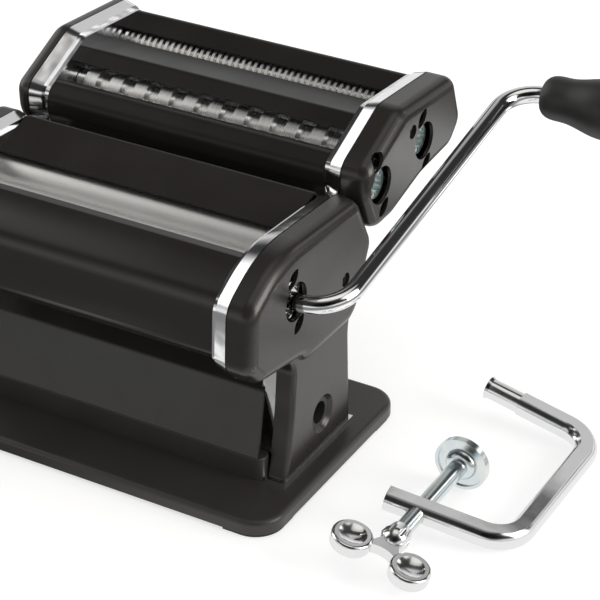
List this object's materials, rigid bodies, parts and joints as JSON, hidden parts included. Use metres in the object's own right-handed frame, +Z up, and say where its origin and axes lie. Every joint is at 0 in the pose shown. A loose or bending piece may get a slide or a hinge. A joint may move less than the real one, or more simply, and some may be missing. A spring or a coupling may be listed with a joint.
{
  "type": "pasta machine",
  "caption": "Hand cranked pasta machine: steel side frames with black covers, geared dough rollers with a gap dial, a clip-on cutter head, a crank and a table clamp.",
  "frame": {"origin": "on the table top, midway between the two sides and about under the middle of the base", "axes": "+X to the crank side, +Y to the back, +Z up"},
  "size_m": [0.3212, 0.224, 0.146],
  "materials": {
    "black_paint": "satin black enamel",
    "black_plastic": "moulded black plastic",
    "chrome": "bright chrome plating",
    "roller_alloy": "fine turned, anodised",
    "steel": "plain turned steel",
    "black_screw": "blackened steel",
    "zinc": "blue zinc plating",
    "dial_face": "satin silver label with plain numbers"
  },
  "bodies": {
    "machine": {"base_plate": "black_paint", "base_feet": "black_plastic", "base_screws": "steel", "side_frame_left": "chrome", "side_frame_right": "chrome", "side_cover_left": "black_paint", "side_cover_right": "black_paint", "cover_bracket_left": "steel", "cover_bracket_right": "steel", "cover_screws": "black_screw", "front_panel": "black_paint", "rear_panel": "black_paint", "dough_chute": "black_paint", "tie_rods": "steel", "roller_scrapers": "black_plastic", "roller_bushes": "black_plastic", "regulator_bushes": "black_plastic", "clamp_sockets": "black_plastic", "cutter_guides": "chrome", "dial_plate": "dial_face"},
    "front_roller": {"front_roller": "roller_alloy", "front_roller_gear": "steel", "crank_socket": "chrome"},
    "crank": {"crank_rod": "chrome", "crank_pin": "chrome"},
    "grip": {"crank_grip": "black_plastic"},
    "regulator": {"regulator_shaft": "steel", "regulator_pinions": "steel"},
    "knob": {"adjuster_knob": "black_plastic"},
    "eccentrics": {"eccentric_rings": "steel"},
    "sleeves": {"roller_sleeves": "steel"},
    "rear_roller": {"rear_roller": "roller_alloy", "rear_roller_gear": "steel"},
    "cutter_head": {"cutter_frame_left": "chrome", "cutter_frame_right": "chrome", "cutter_cover_left": "black_paint", "cutter_cover_right": "black_paint", "cutter_posts": "steel", "cutter_screws": "black_screw", "cutter_front_strip": "black_paint", "cutter_middle_strip": "black_paint", "cutter_rear_strip": "black_paint", "cutter_tie_rods": "steel", "cutter_bushes": "black_plastic", "cutter_hooks": "chrome", "cutter_combs": "black_plastic"},
    "wide_front": {"wide_cutter_front": "roller_alloy", "wide_gear_front": "steel", "wide_drive_socket": "zinc"},
    "wide_rear": {"wide_cutter_rear": "roller_alloy", "wide_gear_rear": "steel"},
    "fine_front": {"fine_cutter_front": "roller_alloy", "fine_gear_front": "steel", "fine_drive_socket": "zinc"},
    "fine_rear": {"fine_cutter_rear": "roller_alloy", "fine_gear_rear": "steel"},
    "clamp": {"clamp_bar": "chrome"},
    "clamp_pad": {"clamp_pad": "zinc"},
    "clamp_screw": {"clamp_screw": "zinc", "clamp_wing": "chrome"}
  },
  "joints": [
    {"name": "crank_turn", "type": "hinge", "parent": "machine", "child": "front_roller", "pos_m": [0, -0.0248, 0.0992], "axis": [1, 0, 0], "continuous": true},
    {"name": "crank_pull", "type": "slide", "parent": "front_roller", "child": "crank", "axis": [1, 0, 0], "range_m": [0, 0.03]},
    {"name": "grip_spin", "type": "hinge", "parent": "crank", "child": "grip", "pos_m": [0.17, 0.1426, 0.1321], "axis": [1, 0, 0], "continuous": true},
    {"name": "thickness_turn", "type": "hinge", "parent": "machine", "child": "regulator", "pos_m": [0, 0.01719, 0.07815], "axis": [-1, 0, 0], "range_deg": [0, 324]},
    {"name": "knob_pull", "type": "slide", "parent": "regulator", "child": "knob", "axis": [-1, 0, 0], "range_m": [0, 0.004], "stiffness_N_per_m": 500},
    {"name": "eccentric_turn", "type": "hinge", "parent": "machine", "child": "eccentrics", "pos_m": [0, 0.00788, 0.09664], "axis": [1, 0, 0], "range_deg": [0, 90]},
    {"name": "sleeve_hold", "type": "hinge", "parent": "eccentrics", "child": "sleeves", "pos_m": [0, 0.01, 0.09876], "axis": [1, 0, 0], "range_deg": [-90, 0]},
    {"name": "rear_roller_turn", "type": "hinge", "parent": "sleeves", "child": "rear_roller", "pos_m": [0, 0.01, 0.09876], "axis": [1, 0, 0], "continuous": true},
    {"name": "cutter_lift", "type": "slide", "parent": "machine", "child": "cutter_head", "axis": [0, 0, 1], "range_m": [0, 0.03]},
    {"name": "wide_cutter_turn", "type": "hinge", "parent": "cutter_head", "child": "wide_front", "pos_m": [0, 0.0499, 0.1195], "axis": [1, 0, 0], "continuous": true},
    {"name": "wide_mate_turn", "type": "hinge", "parent": "cutter_head", "child": "wide_rear", "pos_m": [0, 0.0676, 0.12136], "axis": [1, 0, 0], "continuous": true},
    {"name": "fine_cutter_turn", "type": "hinge", "parent": "cutter_head", "child": "fine_front", "pos_m": [0, 0.0902, 0.1235], "axis": [1, 0, 0], "continuous": true},
    {"name": "fine_mate_turn", "type": "hinge", "parent": "cutter_head", "child": "fine_rear", "pos_m": [0, 0.1079, 0.12536], "axis": [1, 0, 0], "continuous": true},
    {"name": "clamp_lift", "type": "slide", "parent": "machine", "child": "clamp", "axis": [0, 0, 1], "range_m": [0, 0.05]},
    {"name": "clamp_feed", "type": "slide", "parent": "clamp", "child": "clamp_pad", "axis": [0, 1, 0], "range_m": [-0.0245, 0.0062]},
    {"name": "clamp_screw_turn", "type": "hinge", "parent": "clamp_pad", "child": "clamp_screw", "pos_m": [0.155, 0, 0.0125], "axis": [0, 1, 0], "range_deg": [-5760, 1440]}
  ],
  "couplings": [
    {"joint": "eccentric_turn", "follows": "thickness_turn", "ratio": 0.27778},
    {"joint": "sleeve_hold", "follows": "thickness_turn", "ratio": -0.27778},
    {"joint": "rear_roller_turn", "follows": "crank_turn", "ratio": -1},
    {"joint": "wide_mate_turn", "follows": "wide_cutter_turn", "ratio": -1},
    {"joint": "fine_mate_turn", "follows": "fine_cutter_turn", "ratio": -1},
    {"joint": "clamp_feed", "follows": "clamp_screw_turn", "m_per_rad": 0.00023873}
  ]
}
